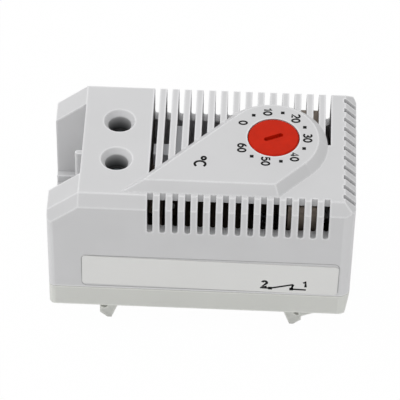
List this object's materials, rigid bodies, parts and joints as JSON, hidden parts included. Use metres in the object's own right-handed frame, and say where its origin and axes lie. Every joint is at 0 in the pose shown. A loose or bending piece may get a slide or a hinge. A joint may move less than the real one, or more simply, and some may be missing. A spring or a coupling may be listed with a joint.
{
  "type": "rail mounted thermostat",
  "caption": "Small vented room thermostat that clips to a top-hat rail, with a screwdriver-set dial, bimetal contact and screw terminals.",
  "frame": {"origin": "middle of the base's underside, the face that sits on the rail", "axes": "+X towards the vent end, -Y towards the label side, +Z out of the dial face"},
  "size_m": [0.06, 0.0332, 0.0392],
  "materials": {
    "cover_plastic": "fine moulded texture, light grey",
    "base_plastic": "fine moulded texture, light grey",
    "label_film": "smooth silver-grey film",
    "red_plastic": "fine moulded texture, red",
    "brass": "turned",
    "tinned_brass": "stamped brass, tinned",
    "dark_board": "brown-black laminated board",
    "spring_steel": "drawn wire or strip",
    "nut_plastic": "natural moulded",
    "plated_steel": "zinc plated",
    "bimetal": "rolled strip, dull",
    "contact_metal": "polished contact face",
    "magnet_metal": "sintered",
    "dark_plastic": "dark moulded",
    "screw_steel": "plated, slotted",
    "barrier_plastic": "light grey moulded"
  },
  "bodies": {
    "case": {"housing": "cover_plastic", "base": "base_plastic", "label_plate": "label_film", "friction_washer": "spring_steel", "lever_pin": "plated_steel", "lever_spring": "spring_steel", "carrier_pin": "plated_steel", "fixed_contact": "contact_metal", "magnet": "magnet_metal", "contact_block": "dark_plastic", "chassis": "dark_board", "chassis_screws": "plated_steel", "bar_rivet": "plated_steel", "terminal_bar_1": "tinned_brass", "terminal_bar_2": "tinned_brass", "insulating_barrier": "barrier_plastic", "latch_spring": "spring_steel"},
    "dial": {"dial": "red_plastic", "dial_spindle": "brass", "spindle_clip": "spring_steel"},
    "nut": {"setting_nut": "nut_plastic"},
    "lever": {"setting_lever": "plated_steel", "calibration_screw": "brass"},
    "bimetal": {"bimetal_strip": "bimetal", "bimetal_carrier": "brass", "bimetal_rivets": "plated_steel", "armature": "plated_steel", "moving_contact": "contact_metal"},
    "screw_1": {"terminal_screw_1": "screw_steel"},
    "cage_1": {"clamp_cage_1": "plated_steel"},
    "screw_2": {"terminal_screw_2": "screw_steel"},
    "cage_2": {"clamp_cage_2": "plated_steel"},
    "latch": {"rail_latch": "base_plastic"}
  },
  "joints": [
    {"name": "dial_turn", "type": "hinge", "parent": "case", "child": "dial", "pos_m": [0.0136, 0.0004, 0.0316], "axis": [0, 0, 1], "range_deg": [-175, 125]},
    {"name": "nut_travel", "type": "slide", "parent": "case", "child": "nut", "axis": [0, 0, 1], "range_m": [-0.000243, 0.00034]},
    {"name": "lever_tilt", "type": "hinge", "parent": "case", "child": "lever", "pos_m": [0.0136, 0.006, 0.0146], "axis": [1, 0, 0], "range_deg": [-3.6, 2.6], "deforming": ["lever_spring"]},
    {"name": "bimetal_flex", "type": "hinge", "parent": "case", "child": "bimetal", "pos_m": [0.0201, 0.009, 0.0098], "axis": [1, 0, 0], "range_deg": [-1.6, 1.5], "stiffness_Nm_per_rad": 0.3},
    {"name": "terminal_screw_1_turn", "type": "hinge", "parent": "case", "child": "screw_1", "pos_m": [-0.0169, -0.0052, 0.0248], "axis": [0, 0, 1], "range_deg": [-2165, 0]},
    {"name": "clamp_cage_1_lift", "type": "slide", "parent": "case", "child": "cage_1", "axis": [0, 0, 1], "range_m": [0, 0.003]},
    {"name": "terminal_screw_2_turn", "type": "hinge", "parent": "case", "child": "screw_2", "pos_m": [-0.0169, 0.0052, 0.0248], "axis": [0, 0, 1], "range_deg": [-2165, 0]},
    {"name": "clamp_cage_2_lift", "type": "slide", "parent": "case", "child": "cage_2", "axis": [0, 0, 1], "range_m": [0, 0.003]},
    {"name": "latch_slide", "type": "slide", "parent": "case", "child": "latch", "axis": [1, 0, 0], "range_m": [0, 0.0018], "stiffness_N_per_m": 800, "springref_m": -0.002, "deforming": ["latch_spring"]}
  ],
  "couplings": [
    {"joint": "dial_turn", "follows": "nut_travel", "rad_per_m": -8976},
    {"joint": "lever_tilt", "follows": "nut_travel", "rad_per_m": -178.57},
    {"joint": "terminal_screw_1_turn", "follows": "clamp_cage_1_lift", "rad_per_m": -12566},
    {"joint": "terminal_screw_2_turn", "follows": "clamp_cage_2_lift", "rad_per_m": -12566}
  ]
}
